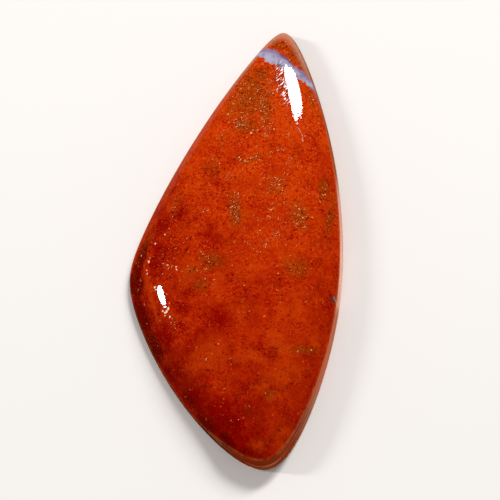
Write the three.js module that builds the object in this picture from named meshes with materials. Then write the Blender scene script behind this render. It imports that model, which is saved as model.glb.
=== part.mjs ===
// A polished free-form cabochon of seam agate, lying on its flat back.
// Millimetres. The origin is the middle of the back's outline box, +Y runs to the sharp tip
// and +Z up through the dome. The stone is one piece, so it is one mesh.
import * as THREE from 'three';

// Thickness at the top of the dome, and where that top is.
const DOME_HEIGHT = 4.6;
const DOME_TOP = [0.6, -3.0];
// The dome is a shallow bowl shape, curved tightly across the stone and gently along it.
const DOME_RADIUS_ACROSS = 31;
const DOME_RADIUS_ALONG = 150;
// The wall around the edge leans in by this much for each millimetre that it rises.
const WALL_LEAN = 0.09;
// The edge of the flat back is broken by a bevel this wide and high.
const BACK_BEVEL = 0.3;
// How the dome rolls over at the shoulder: 1 is a straight slope, 2 is a parabola,
// and 3 starts gently and bends most at the wall.
const SHOULDER_ROUNDING = 3;
// Near a corner, the wall and shoulder of two sides blend into each other over this distance.
const SIDE_BLEND = 1.2;

// The corners where the sides would meet if they were sharp, how far each is rounded,
// and the height of the wall and the width of the shoulder there.
const CORNERS = {
  tip: { x: 4.8, y: 24.4, rounding: 2.0, wall: 1.8, shoulder: 2.3 },
  left: { x: -11.8, y: -1.8, rounding: 1.7, wall: 1.0, shoulder: 4.6 },
  bottom: { x: 3.6, y: -24.6, rounding: 4.6, wall: 2.9, shoulder: 2.6 },
  right: { x: 10.1, y: -6.0, rounding: 0.6, wall: 1.9, shoulder: 3.3 },
};

// Each side is an arc that bulges out from the line between two corners, counter-clockwise.
// Its wall changes from one corner's height to the other's between two places on an axis,
// and its shoulder changes all the way along.
const SIDES = [
  { from: 'tip', to: 'left', bulge: 1.1, axis: 'y', wallChange: [16, 0] },
  { from: 'left', to: 'bottom', bulge: 2.4, axis: 'x', wallChange: [-4.4, -0.6] },
  { from: 'bottom', to: 'right', bulge: 0.7, axis: 'y', wallChange: [-19.4, -7.8] },
  { from: 'right', to: 'tip', bulge: 1.9, axis: 'y', wallChange: [0, 16] },
];

// The ends of the stone differ in rounding, which changes between these two heights up the outline.
const ROUNDING_CHANGE = [-9, 9];

// Facets: points around the edge, and rings from the edge to the middle as shares of the way out.
const EDGE_POINTS = 150;
const SHOULDER_RINGS = [0.985, 0.965, 0.94, 0.91, 0.875, 0.835];
const CROWN_RINGS = [0.785, 0.725, 0.65, 0.56, 0.46, 0.35, 0.23, 0.11];
const FINE_POINTS = 1440;
const TURN_WEIGHT = 9;
const MIDDLE = { x: 0.2, y: -1.5 };
const LONGEST_REACH = 32;

const AGATE = new THREE.MeshStandardMaterial({ color: 0xb5300a, roughness: 0.08, metalness: 0 });

function smoothStep(from, to, value) {
  const share = THREE.MathUtils.clamp((value - from) / (to - from), 0, 1);
  return share * share * (3 - 2 * share);
}

// The smaller of two numbers, with the crease between them rounded off.
function roundedMin(a, b, rounding) {
  return 0.5 * (a + b - Math.hypot(a - b, rounding));
}

// The circle of a side: it passes through both corners and bulges out by the side's bulge.
function sideCircle(side) {
  const from = CORNERS[side.from];
  const to = CORNERS[side.to];
  const chord = Math.hypot(to.x - from.x, to.y - from.y);
  const radius = (chord * chord / 4 + side.bulge * side.bulge) / (2 * side.bulge);
  const outward = { x: (to.y - from.y) / chord, y: (from.x - to.x) / chord };
  const back = radius - side.bulge;
  return {
    x: (from.x + to.x) / 2 - outward.x * back,
    y: (from.y + to.y) / 2 - outward.y * back,
    radius,
  };
}

const CIRCLES = SIDES.map(sideCircle);

// How far a place is inside each side's arc.
function insideEach(x, y) {
  return CIRCLES.map((circle) => circle.radius - Math.hypot(x - circle.x, y - circle.y));
}

// How far a place is inside the rounded outline: 0 on the outline, more towards the middle.
function inside(x, y) {
  const [upperLeft, lowerLeft, lowerRight, upperRight] = insideEach(x, y);
  const left = roundedMin(upperLeft, lowerLeft, CORNERS.left.rounding);
  const right = roundedMin(lowerRight, upperRight, CORNERS.right.rounding);
  const towardsTip = smoothStep(...ROUNDING_CHANGE, y);
  const rounding = THREE.MathUtils.lerp(CORNERS.bottom.rounding, CORNERS.tip.rounding, towardsTip);
  return roundedMin(left, right, rounding);
}

// The wall height or the shoulder width at a place, blended from the sides that are near.
function edgeValue(x, y, name) {
  const near = insideEach(x, y).map((distance) => Math.exp(-distance / SIDE_BLEND));
  let sum = 0;
  let weights = 0;
  SIDES.forEach((side, i) => {
    const from = CORNERS[side.from];
    const to = CORNERS[side.to];
    const change = name === 'wall' ? side.wallChange : [from[side.axis], to[side.axis]];
    const share = smoothStep(...change, side.axis === 'x' ? x : y);
    sum += near[i] * THREE.MathUtils.lerp(from[name], to[name], share);
    weights += near[i];
  });
  return sum / weights;
}

function wallHeight(x, y) {
  return edgeValue(x, y, 'wall');
}

// How far inside the outline the top of the wall is.
function wallInset(x, y) {
  return WALL_LEAN * (wallHeight(x, y) - BACK_BEVEL);
}

// Height of the polished face: the dome, rolled over at the shoulder to meet the wall.
function faceHeight(x, y) {
  const wall = wallHeight(x, y);
  const across = (x - DOME_TOP[0]) ** 2 / (2 * DOME_RADIUS_ACROSS);
  const along = (y - DOME_TOP[1]) ** 2 / (2 * DOME_RADIUS_ALONG);
  const dome = DOME_HEIGHT - across - along;
  const ontoFace = inside(x, y) - wallInset(x, y);
  const share = THREE.MathUtils.clamp(ontoFace / edgeValue(x, y, 'shoulder'), 0, 1);
  return wall + (dome - wall) * (1 - (1 - share) ** SHOULDER_ROUNDING);
}

// The place on the ray at this angle from the middle that is inset from the outline by inset(x, y).
function onRay(angle, inset) {
  let near = 0;
  let far = LONGEST_REACH;
  const place = (reach) => [MIDDLE.x + reach * Math.cos(angle), MIDDLE.y + reach * Math.sin(angle)];
  for (let step = 0; step < 40; step++) {
    const half = (near + far) / 2;
    const [x, y] = place(half);
    if (inside(x, y) > inset(x, y)) near = half;
    else far = half;
  }
  return place(near);
}

// Angles around the middle, spaced evenly along the outline and closer where it turns.
function spreadAngles(count) {
  const angles = Array.from({ length: FINE_POINTS + 1 }, (_, i) => (i / FINE_POINTS) * 2 * Math.PI);
  const places = angles.map((angle) => onRay(angle, () => 0));
  const heading = (i) => Math.atan2(places[i + 1][1] - places[i][1], places[i + 1][0] - places[i][0]);
  const walked = [0];
  for (let i = 0; i < FINE_POINTS; i++) {
    const length = Math.hypot(places[i + 1][0] - places[i][0], places[i + 1][1] - places[i][1]);
    const turn = heading((i + 1) % FINE_POINTS) - heading(i);
    const bend = Math.abs(Math.atan2(Math.sin(turn), Math.cos(turn)));
    walked.push(walked[i] + length + TURN_WEIGHT * bend);
  }
  const spread = [];
  for (let i = 0, fine = 0; i < count; i++) {
    const target = (i / count) * walked[FINE_POINTS];
    while (walked[fine + 1] < target) fine++;
    const share = (target - walked[fine]) / (walked[fine + 1] - walked[fine]);
    spread.push(THREE.MathUtils.lerp(angles[fine], angles[fine + 1], share));
  }
  return spread;
}

// Joins two closed rings of points, listed counter-clockwise, with a band of triangles.
// The rings may have different counts: each step moves on along the one that is behind.
function band(lower, upper, triangles) {
  let i = 0;
  let j = 0;
  while (i < lower.length || j < upper.length) {
    const a = lower[i % lower.length].index;
    const b = upper[j % upper.length].index;
    const nextLower = i < lower.length ? (lower[i + 1]?.angle ?? 2 * Math.PI) : Infinity;
    const nextUpper = j < upper.length ? (upper[j + 1]?.angle ?? 2 * Math.PI) : Infinity;
    if (nextLower <= nextUpper) {
      i++;
      triangles.push(a, lower[i % lower.length].index, b);
    } else {
      j++;
      triangles.push(a, upper[j % upper.length].index, b);
    }
  }
}

function cabochonGeometry() {
  const positions = [];
  const triangles = [];
  const addRing = (angles, placeAt) => angles.map((angle) => {
    positions.push(...placeAt(angle));
    return { angle, index: positions.length / 3 - 1 };
  });
  const edgeAngles = spreadAngles(EDGE_POINTS);
  const wallTop = (angle) => onRay(angle, wallInset);

  const rings = [
    addRing(edgeAngles, (angle) => [...onRay(angle, () => BACK_BEVEL), 0]),
    addRing(edgeAngles, (angle) => [...onRay(angle, () => 0), BACK_BEVEL]),
    addRing(edgeAngles, (angle) => {
      const [x, y] = wallTop(angle);
      return [x, y, wallHeight(x, y)];
    }),
  ];
  const faceRing = (angles, share) => addRing(angles, (angle) => {
    const [edgeX, edgeY] = wallTop(angle);
    const x = THREE.MathUtils.lerp(MIDDLE.x, edgeX, share);
    const y = THREE.MathUtils.lerp(MIDDLE.y, edgeY, share);
    return [x, y, faceHeight(x, y)];
  });
  SHOULDER_RINGS.forEach((share) => rings.push(faceRing(edgeAngles, share)));
  CROWN_RINGS.forEach((share) => {
    const angles = spreadAngles(Math.round(EDGE_POINTS * share));
    rings.push(faceRing(angles, share));
  });
  for (let i = 1; i < rings.length; i++) band(rings[i - 1], rings[i], triangles);

  // The crown closes on one point, and the back is flat.
  positions.push(MIDDLE.x, MIDDLE.y, faceHeight(MIDDLE.x, MIDDLE.y));
  const crown = positions.length / 3 - 1;
  const last = rings[rings.length - 1];
  last.forEach((point, i) => triangles.push(point.index, last[(i + 1) % last.length].index, crown));
  const back = rings[0].map(({ index }) => {
    return new THREE.Vector2(positions[3 * index], positions[3 * index + 1]);
  });
  THREE.ShapeUtils.triangulateShape(back, []).forEach(([a, b, c]) => triangles.push(c, b, a));

  const geometry = new THREE.BufferGeometry();
  geometry.setAttribute('position', new THREE.Float32BufferAttribute(positions, 3));
  geometry.setIndex(triangles);
  geometry.computeVertexNormals();
  return geometry;
}

const geometry = cabochonGeometry();
geometry.computeBoundingBox();
const centre = geometry.boundingBox.getCenter(new THREE.Vector3());
geometry.translate(-centre.x, -centre.y, 0);

const cabochon = new THREE.Mesh(geometry, AGATE);
cabochon.name = 'cabochon';

const stone = new THREE.Group();
stone.add(cabochon);
export default stone;
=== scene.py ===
# %% [markdown]
# # A seam agate cabochon, rebuilt in Blender
#
# The object is one polished stone: a lopsided kite with curved sides, flat on the back and
# domed in front. Most of it is opaque orange-red agate, and a lavender seam crosses it near
# the sharp tip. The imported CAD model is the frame: it fixes the size and the place, and this
# lesson adds the fine shape, the colours and the polish.

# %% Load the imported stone
import math
from functools import partial

import bpy
import numpy as np
from mathutils import Matrix, Vector
from mathutils.geometry import delaunay_2d_cdt


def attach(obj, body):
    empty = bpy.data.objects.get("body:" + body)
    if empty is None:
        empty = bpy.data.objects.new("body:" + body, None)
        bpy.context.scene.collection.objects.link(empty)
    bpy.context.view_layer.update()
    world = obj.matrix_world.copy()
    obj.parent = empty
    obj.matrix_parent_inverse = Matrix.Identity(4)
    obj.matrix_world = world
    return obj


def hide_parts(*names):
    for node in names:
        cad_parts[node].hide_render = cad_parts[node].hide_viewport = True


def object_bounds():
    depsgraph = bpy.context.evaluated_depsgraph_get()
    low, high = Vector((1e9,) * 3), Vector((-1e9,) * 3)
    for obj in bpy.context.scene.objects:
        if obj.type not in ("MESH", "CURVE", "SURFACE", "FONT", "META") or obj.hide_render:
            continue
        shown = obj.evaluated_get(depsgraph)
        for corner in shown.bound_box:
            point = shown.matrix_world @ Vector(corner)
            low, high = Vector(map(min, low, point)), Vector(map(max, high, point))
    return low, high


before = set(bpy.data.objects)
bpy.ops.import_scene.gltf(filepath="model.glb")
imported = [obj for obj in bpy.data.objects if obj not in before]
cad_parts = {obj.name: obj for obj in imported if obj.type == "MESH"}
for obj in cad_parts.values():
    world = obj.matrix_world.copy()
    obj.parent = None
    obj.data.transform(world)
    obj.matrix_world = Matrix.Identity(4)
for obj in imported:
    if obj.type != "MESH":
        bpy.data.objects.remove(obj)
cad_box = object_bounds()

MM_PER_METRE = 1000
print("CAD box, mm:", [[round(MM_PER_METRE * v, 3) for v in corner] for corner in cad_box])

# %% [markdown]
# ## The outline
#
# A lapidary saws the outline from a slab and grinds its sides to slow curves. It could be
# traced as a long list of points, but it is easier to describe as its maker would: four
# corners, and four sides that bulge a little, each an arc of a big circle. All of it is in
# millimetres and repeats the CAD model's values. The mesh is turned into metres at the end.

# %% Corners and sides
# Each corner: where the sides would meet, the height of the wall, the width of the shoulder
# and how soft the arris is.
CORNERS = {
    "tip": {"x": 4.8, "y": 24.4, "wall": 1.8, "shoulder": 2.3, "arris": 0.45},
    "left": {"x": -11.8, "y": -1.8, "wall": 1.0, "shoulder": 4.6, "arris": 0.25},
    "bottom": {"x": 3.6, "y": -24.6, "wall": 2.9, "shoulder": 2.6, "arris": 0.12},
    "right": {"x": 10.1, "y": -6.0, "wall": 1.9, "shoulder": 3.3, "arris": 0.12},
}
# How far each corner is rounded. The two ends differ, and it changes between these values of y.
ROUNDING = {"tip": 2.0, "left": 1.7, "bottom": 4.6, "right": 0.6}
ROUNDING_CHANGE = (-9, 9)
# Each side: its two corners, its bulge, and where along which axis its wall changes height.
SIDES = [
    ("tip", "left", 1.1, "y", (16, 0)),
    ("left", "bottom", 2.4, "x", (-4.4, -0.6)),
    ("bottom", "right", 0.7, "y", (-19.4, -7.8)),
    ("right", "tip", 1.9, "y", (0, 16)),
]
# The walls of two sides blend into each other over this distance.
SIDE_BLEND = 1.2
# The place that the rings of the mesh go around.
MIDDLE = (0.2, -1.5)


def smooth_step(start, end, value):
    share = np.clip((value - start) / (end - start), 0, 1)
    return share * share * (3 - 2 * share)


def rounded_min(a, b, rounding):
    return 0.5 * (a + b - np.hypot(a - b, rounding))


def side_circle(side):
    start, end = CORNERS[side[0]], CORNERS[side[1]]
    bulge = side[2]
    chord = math.hypot(end["x"] - start["x"], end["y"] - start["y"])
    radius = (chord * chord / 4 + bulge * bulge) / (2 * bulge)
    out_x = (end["y"] - start["y"]) / chord
    out_y = (start["x"] - end["x"]) / chord
    middle_x = (start["x"] + end["x"]) / 2
    middle_y = (start["y"] + end["y"]) / 2
    return middle_x - out_x * (radius - bulge), middle_y - out_y * (radius - bulge), radius


CIRCLES = [side_circle(side) for side in SIDES]
print("side radii, mm:", [round(circle[2], 1) for circle in CIRCLES])


# %% How far a place is inside the outline
def inside_each(x, y):
    return [radius - np.hypot(x - cx, y - cy) for cx, cy, radius in CIRCLES]


def inside(x, y):
    upper_left, lower_left, lower_right, upper_right = inside_each(x, y)
    left = rounded_min(upper_left, lower_left, ROUNDING["left"])
    right = rounded_min(lower_right, upper_right, ROUNDING["right"])
    to_tip = smooth_step(*ROUNDING_CHANGE, y)
    ends = ROUNDING["bottom"] + (ROUNDING["tip"] - ROUNDING["bottom"]) * to_tip
    return rounded_min(left, right, ends)


print("middle of the stone is inside by, mm:", round(float(inside(*MIDDLE)), 2))

# %% [markdown]
# ## Wall, arris and dome
#
# The wall around the stone is what a setting grips. It leans in a little and is lowest at the
# left corner and highest at the bottom. The sharp line where it meets the face is the arris.
# From there the face rolls over a shoulder onto a low dome. A height for each place says all
# of this, so the surface is written as one formula and not sculpted. The arris isn't a knife
# edge: the polishing belt always rounds it by about a tenth of a millimetre.

# %% Height of the polished face
DOME_HEIGHT = 4.6
DOME_TOP = (0.6, -3.0)
DOME_RADIUS_ACROSS = 31
DOME_RADIUS_ALONG = 150
WALL_LEAN = 0.09
BACK_BEVEL = 0.3
SHOULDER_ROUNDING = 3


def edge_value(x, y, name):
    total, weights = 0, 0
    for distance, (start, end, _, axis, wall_change) in zip(inside_each(x, y), SIDES):
        near = np.exp(-distance / SIDE_BLEND)
        change = wall_change if name == "wall" else (CORNERS[start][axis], CORNERS[end][axis])
        share = smooth_step(*change, x if axis == "x" else y)
        value = CORNERS[start][name] + (CORNERS[end][name] - CORNERS[start][name]) * share
        total = total + near * value
        weights = weights + near
    return total / weights


def wall_inset(x, y):
    return WALL_LEAN * (edge_value(x, y, "wall") - BACK_BEVEL)


def skin_height(x, y):
    wall = edge_value(x, y, "wall")
    across = (x - DOME_TOP[0]) ** 2 / (2 * DOME_RADIUS_ACROSS)
    along = (y - DOME_TOP[1]) ** 2 / (2 * DOME_RADIUS_ALONG)
    dome = DOME_HEIGHT - across - along
    onto_face = inside(x, y) - wall_inset(x, y)
    share = np.minimum(onto_face / edge_value(x, y, "shoulder"), 1)
    face = wall + (dome - wall) * (1 - (1 - share) ** SHOULDER_ROUNDING)
    wall_line = BACK_BEVEL + inside(x, y) / WALL_LEAN
    return rounded_min(wall_line, face, edge_value(x, y, "arris"))


print("height at the middle, mm:", round(float(skin_height(*MIDDLE)), 3))

# %% [markdown]
# ## The mesh
#
# The outer part is made of closed rings: up the bevel, up the wall, around the arris and onto
# the shoulder, close together where the surface bends. The rest of the face is covered with
# evenly spread points a tenth of a millimetre apart, which is one pixel of the picture, joined
# by Delaunay triangles. A grid squeezed into a kite would pinch at the tip, and a subdivided
# coarse mesh would round the arris too much.

# %% Rings around the edge
LONGEST_REACH = 32
SEARCH_STEPS = 40
RING_POINTS = 1080
STEPS_PER_POINT = 4


def places_at(angles, inset):
    near, far = np.zeros_like(angles), np.full_like(angles, LONGEST_REACH)
    for _ in range(SEARCH_STEPS):
        half = (near + far) / 2
        x = MIDDLE[0] + half * np.cos(angles)
        y = MIDDLE[1] + half * np.sin(angles)
        is_inside = inside(x, y) > (inset(x, y) if callable(inset) else inset)
        near = np.where(is_inside, half, near)
        far = np.where(is_inside, far, half)
    return MIDDLE[0] + near * np.cos(angles), MIDDLE[1] + near * np.sin(angles)


def even_angles(count):
    fine = np.linspace(0, 2 * math.pi, STEPS_PER_POINT * count + 1)
    x, y = places_at(fine, 0.0)
    walked = np.concatenate([[0], np.cumsum(np.hypot(np.diff(x), np.diff(y)))])
    targets = np.arange(count) * walked[-1] / count
    return np.interp(targets, walked, fine), walked[-1]


ring_angles, outline_length = even_angles(RING_POINTS)
outline_x, outline_y = places_at(ring_angles, 0.0)
centre_x = (outline_x.min() + outline_x.max()) / 2
centre_y = (outline_y.min() + outline_y.max()) / 2
print("outline length, mm:", round(outline_length, 2), "points:", RING_POINTS)
print("middle of the outline's box, mm:", round(centre_x, 3), round(centre_y, 3))

# %% Stack the rings from the back to the shoulder
EDGE_SOFTNESS = 0.02
WALL_STEPS = (0.12, 0.24, 0.36, 0.48, 0.60, 0.70, 0.78, 0.85, 0.91, 0.96)
FACE_STEPS = (0.00, 0.03, 0.06, 0.09, 0.13, 0.18, 0.24, 0.31, 0.39, 0.47)


def ring(inset, height=None):
    x, y = places_at(ring_angles, inset)
    z = skin_height(x, y) if height is None else np.full_like(x, height)
    return np.stack([x, y, z], axis=1)


rings = [
    ring(BACK_BEVEL + EDGE_SOFTNESS, 0.0),
    ring(BACK_BEVEL - EDGE_SOFTNESS, EDGE_SOFTNESS),
    ring(BACK_BEVEL / 2, BACK_BEVEL / 2),
    ring(EDGE_SOFTNESS, BACK_BEVEL - EDGE_SOFTNESS),
    ring(0.0, BACK_BEVEL + EDGE_SOFTNESS),
]
for step in WALL_STEPS:
    rings.append(ring(lambda x, y: wall_inset(x, y) * step))
for step in FACE_STEPS:
    rings.append(ring(lambda x, y: wall_inset(x, y) + step))
print("rings:", len(rings), "lowest wall, mm:", round(float(rings[-len(FACE_STEPS)][:, 2].min()), 2))

# %% Spread points over the face and join everything
SPACING = 0.103
SHEET_X, SHEET_Y = (-12, 12), (-23, 24)
RIM_GAP = 0.7 * SPACING
# Two settings of the triangulation: keep what is inside the rim, and when points are the same.
INSIDE_RIM, SAME_POINT = 1, 1e-7
row_gap = SPACING * math.sqrt(3) / 2
sheet_x, sheet_y = np.meshgrid(np.arange(*SHEET_X, SPACING), np.arange(*SHEET_Y, row_gap))
sheet_x[1::2] += SPACING / 2
face_margin = wall_inset(sheet_x, sheet_y) + FACE_STEPS[-1] + RIM_GAP
on_face = inside(sheet_x, sheet_y) > face_margin
face = np.stack([sheet_x[on_face], sheet_y[on_face], skin_height(sheet_x, sheet_y)[on_face]], axis=1)

flat_points = [Vector(place) for place in np.concatenate([rings[-1], face])[:, :2].tolist()]
rim_edges = [(i, (i + 1) % RING_POINTS) for i in range(RING_POINTS)]
triangulated = delaunay_2d_cdt(flat_points, rim_edges, [], INSIDE_RIM, SAME_POINT, False)
face_start = RING_POINTS * (len(rings) - 1)
triangles = [tuple(face_start + i for i in corners) for corners in triangulated[2]]
for low in range(len(rings) - 1):
    for i in range(RING_POINTS):
        a = low * RING_POINTS + i
        b = low * RING_POINTS + (i + 1) % RING_POINTS
        triangles.append((a, b, b + RING_POINTS, a + RING_POINTS))
back = tuple(reversed(range(RING_POINTS)))
skin = np.concatenate(rings + [face])
skin[:, 0] -= centre_x
skin[:, 1] -= centre_y
print("points:", len(skin), "faces:", len(triangles) + 1)

# %% [markdown]
# ## What the polishing wheel leaves
#
# Agate isn't equally hard all through. The wheel takes a little more off the softer parts, so
# the gloss shows a gentle ripple, like the skin of an orange, a few thousandths of a millimetre
# deep. A noise texture could fake it in the shading. Here it is real: a sum of waves in random
# directions lowers the points, so that the mesh itself bends the reflections. A few small chips
# sit on the sharp lower arris, where such stones always catch something.

# %% Ripple and chips
random = np.random.default_rng(7)
# Each family of waves: the shortest and the longest, and the depth, in mm, and how many.
RIPPLES = [
    {"length": (2.6, 5.0), "depth": 0.0016, "waves": 24},
    {"length": (0.9, 1.7), "depth": 0.0003, "waves": 40},
]
ripple = np.zeros(len(skin))
for family in RIPPLES:
    for _ in range(family["waves"]):
        turn, phase = random.uniform(0, 2 * math.pi, 2)
        wave = 2 * math.pi / random.uniform(*family["length"])
        along = skin[:, 0] * math.cos(turn) + skin[:, 1] * math.sin(turn)
        ripple += family["depth"] * math.sqrt(2 / family["waves"]) * np.cos(wave * along + phase)
depth_below = np.clip(ripple.max() - ripple, 0, None)
# The wheel reaches the face and not the foot of the wall, so the ripple fades in with height.
off_the_foot = smooth_step(0.3, 1.2, skin[:, 2])
skin[:, 2] -= depth_below * off_the_foot
print("deepest ripple, mm:", round(float(depth_below.max()), 4))

# Each chip: the place of its middle, its radius and how deep it goes, in mm.
CHIPS = [
    ((4.80, -20.50, 2.62), 0.34, 0.07),
    ((5.06, -20.14, 2.60), 0.22, 0.05),
    ((4.36, -20.93, 2.66), 0.26, 0.05),
    ((9.92, -5.80, 1.80), 0.40, 0.08),
    ((0.80, -21.10, 2.80), 0.20, 0.04),
    ((1.45, -21.50, 0.35), 0.22, 0.05),
    ((7.95, -15.20, 2.15), 0.20, 0.03),
]

# %% [markdown]
# ## The stone as a Blender object
#
# The mesh is one closed piece, so it replaces the one CAD node and rides on the one body.

# %% Make the stone
SCOOP_ROUNDNESS = 1.5


def new_object(name, data):
    made = bpy.data.objects.new(name, data)
    bpy.context.collection.objects.link(made)
    return made


mesh = bpy.data.meshes.new("cabochon_skin")
mesh.from_pydata((skin / MM_PER_METRE).tolist(), [], triangles + [back])
mesh.update()
normals = np.empty(3 * len(skin))
mesh.vertices.foreach_get("normal", normals)
normals = normals.reshape(-1, 3)
for middle, radius, depth in CHIPS:
    away = np.linalg.norm(skin - np.array(middle), axis=1) / radius
    scoop = depth * np.clip(1 - away ** 2, 0, 1) ** SCOOP_ROUNDNESS
    skin -= normals * scoop[:, None]
# The finer outline reaches a micrometre past the CAD facets, so the points stay in the CAD box.
skin = np.clip(skin, *(MM_PER_METRE * np.array(cad_box)))
mesh.vertices.foreach_set("co", (skin / MM_PER_METRE).ravel())
mesh.polygons.foreach_set("use_smooth", [True] * len(mesh.polygons))
mesh.update()
print("size, mm:", (skin.max(axis=0) - skin.min(axis=0)).round(3))

# %% Numbers on the points
# They tell the material where the arris is worn and gets a painted highlight line, where the
# tip gets a painted pink reflection and which parts of the wall get painted light. They follow
# the edge exactly, which a colour drawn from a place in space wouldn't.
raw_x, raw_y = skin[:, 0] + centre_x, skin[:, 1] + centre_y
from_outline = inside(raw_x, raw_y)
past_arris = from_outline - wall_inset(raw_x, raw_y)
off_arris = np.where(past_arris < 0, -past_arris / WALL_LEAN, past_arris)
# Each of these goes from 0 to 1 between two sizes or two places, in mm.
sharp = smooth_step(0.5, 0.12, edge_value(raw_x, raw_y, "arris"))
near_arris = smooth_step(0.16, 0.02, off_arris)
near_outline = smooth_step(0.76, 0.14, from_outline)
on_wall = smooth_step(0.02, -0.02, past_arris)
towards_tip = smooth_step(14.0, 20.0, raw_y)
at_right = smooth_step(7.5, 9.5, raw_x)
at_lower_right = smooth_step(5.5, 8.0, raw_x)
at_bottom = smooth_step(-5.0, -1.0, raw_x) * smooth_step(8.0, 6.0, raw_x) * (raw_y < -10)
above_chip = smooth_step(-6.6, -5.4, raw_y)
pale_part = smooth_step(-5.9, -5.3, raw_y) * smooth_step(3.5, -2.0, raw_y)
SURFACE_NUMBERS = {
    "arris_wear_and_highlight": sharp * near_arris,
    "tip_painted_reflection": towards_tip * near_outline * (1 - 0.45 * on_wall),
    "right_wall_painted_light": on_wall * at_right * above_chip,
    "lower_wall_painted_light": on_wall * at_lower_right * (1 - above_chip),
    "bottom_wall_painted_light": on_wall * at_bottom,
    "pale_wall_painted_reflection": on_wall * at_right * pale_part,
    "any_wall": on_wall,
}
for name, values in SURFACE_NUMBERS.items():
    mesh.attributes.new(name, "FLOAT", "POINT").data.foreach_set("value", values)
print("numbers on each point:", list(SURFACE_NUMBERS))

# %% The stone takes the place of the CAD node
stone = new_object("agate_stone", mesh)
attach(stone, "root")
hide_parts("cabochon")
print("piece:", stone.name, "with", len(mesh.vertices), "points")

# %% [markdown]
# ## Helpers for the materials
#
# Colours are read from a screen as sRGB hex values, but the shader works with linear light.
# One function converts them, with the constants of the sRGB standard. A second one adds a node
# with its settings and its links, so that the recipe below reads as a list of steps. A node's
# values are a dictionary of its sockets, or a list in their order. For each material the
# function is bound to that material's nodes, under the name add.

# %% Colour and node helpers
def linear(hex_colour):
    parts = [int(hex_colour[i:i + 2], 16) / 255 for i in (1, 3, 5)]
    light = [p / 12.92 if p <= 0.04045 else ((p + 0.055) / 1.055) ** 2.4 for p in parts]
    return (*light, 1.0)


def add_node(tree, kind, values=(), **settings):
    node = tree.nodes.new("ShaderNode" + kind)
    for name, value in settings.items():
        setattr(node, name, value)
    pairs = values.items() if isinstance(values, dict) else enumerate(values)
    for socket, value in pairs:
        if isinstance(value, bpy.types.NodeSocket):
            tree.links.new(value, node.inputs[socket])
        else:
            node.inputs[socket].default_value = value
    return node.outputs


def empty_nodes(owner):
    owner.use_nodes = True
    owner.node_tree.nodes.clear()
    return owner.node_tree


print("orange-red in linear light:", [round(v, 3) for v in linear("#c23a07")])

# %% [markdown]
# ## Agate: the ground colour
#
# Agate is quartz in fibres too fine to see. Iron oxide colours this one, and where there is
# much of it the stone is opaque, like jasper. The colour isn't even: it gathered in clouds and
# mossy plumes while the quartz was still a gel. The picture shows a brighter orange-red
# towards the tip and deep red towards the blunt end. A painted image would only fit one
# view, so the colours are a solid pattern that fills the stone, as in the real one.

# %% Places inside the stone
polished_agate = bpy.data.materials.new("polished_orange_red_agate")
agate = empty_nodes(polished_agate)
add = partial(add_node, agate)
TO_MM = (MM_PER_METRE,) * 3

# Object coordinates are metres, and the pattern is written in millimetres.
place = add("TexCoord")["Object"]
mm = add("VectorMath", [place, TO_MM], operation="MULTIPLY")[0]


def shift(size, detail, roughness=0.5):
    values = {"Vector": mm, "Scale": 1 / size, "Detail": detail, "Roughness": roughness}
    noise = add("TexNoise", values)["Color"]
    return add("VectorMath", [noise, (0.5, 0.5, 0.5)], operation="SUBTRACT")[0]


# Plumes: two noises, one 4 mm and one 0.7 mm across, push the pattern about. The second makes
# three kinds of coordinates, pushed by different amounts in mm.
slow_shift, quick_shift = shift(4.0, 1), shift(0.7, 3)
pushed = add("VectorMath", [slow_shift, (2.6,) * 3, mm], operation="MULTIPLY_ADD")[0]
frayed, fringed, plumed = [
    add("VectorMath", [quick_shift, (reach,) * 3, start], operation="MULTIPLY_ADD")[0]
    for start, reach in ((pushed, 1.3), (mm, 0.5), (mm, 1.7))
]
print("nodes so far:", len(agate.nodes))

# %% Bright at the tip, deep at the blunt end
along = add("SeparateXYZ", [pushed])
depth_of_red = add("MapRange", {"Value": along["Y"], "From Min": 18.0, "From Max": -26.0})[0]
# The fine texture is strong at the tip and fades towards the blunt end.
texture = add("MapRange", {"Value": depth_of_red, "To Min": 1.35, "To Max": 0.10})[0]
mottle = add("TexNoise", {
    "Vector": frayed, "Scale": 1 / 2.6, "Detail": 7, "Roughness": 0.62, "Distortion": 0.4})[0]
mottle_share = add("MapRange", {
    "Value": mottle, "From Min": 0.36, "From Max": 0.66, "To Min": -0.26, "To Max": 0.26}, clamp=False)[0]
mottled = add("Math", [depth_of_red, mottle_share], operation="ADD")[0]
# Grains of iron oxide, 0.33 mm across, turn the tone up and down.
grain = add("TexNoise", {
    "Vector": mm, "Scale": 1 / 0.33, "Detail": 2, "Roughness": 0.6, "Distortion": 0.5})[0]
grain_share = add("MapRange", {
    "Value": grain, "From Min": 0.3, "From Max": 0.7, "To Min": -0.30, "To Max": 0.30}, clamp=False)[0]
redness = add("Math", [grain_share, texture, mottled], operation="MULTIPLY_ADD")[0]
ground = add("ValToRGB", [redness])[0]
GROUND_TONES = [(0.00, "#c23a05"), (0.30, "#b42b03"), (0.55, "#a72202"), (0.80, "#971702"),
                (1.00, "#7e0901")]


def set_tones(ramp, tones):
    stops = ramp.node.color_ramp.elements
    for position, tone in tones:
        stop = {0: stops[0], 1: stops[-1]}.get(position) or stops.new(position)
        stop.color = linear(tone)
    return len(stops)


print("ground tones:", set_tones(ground, GROUND_TONES))
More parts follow.
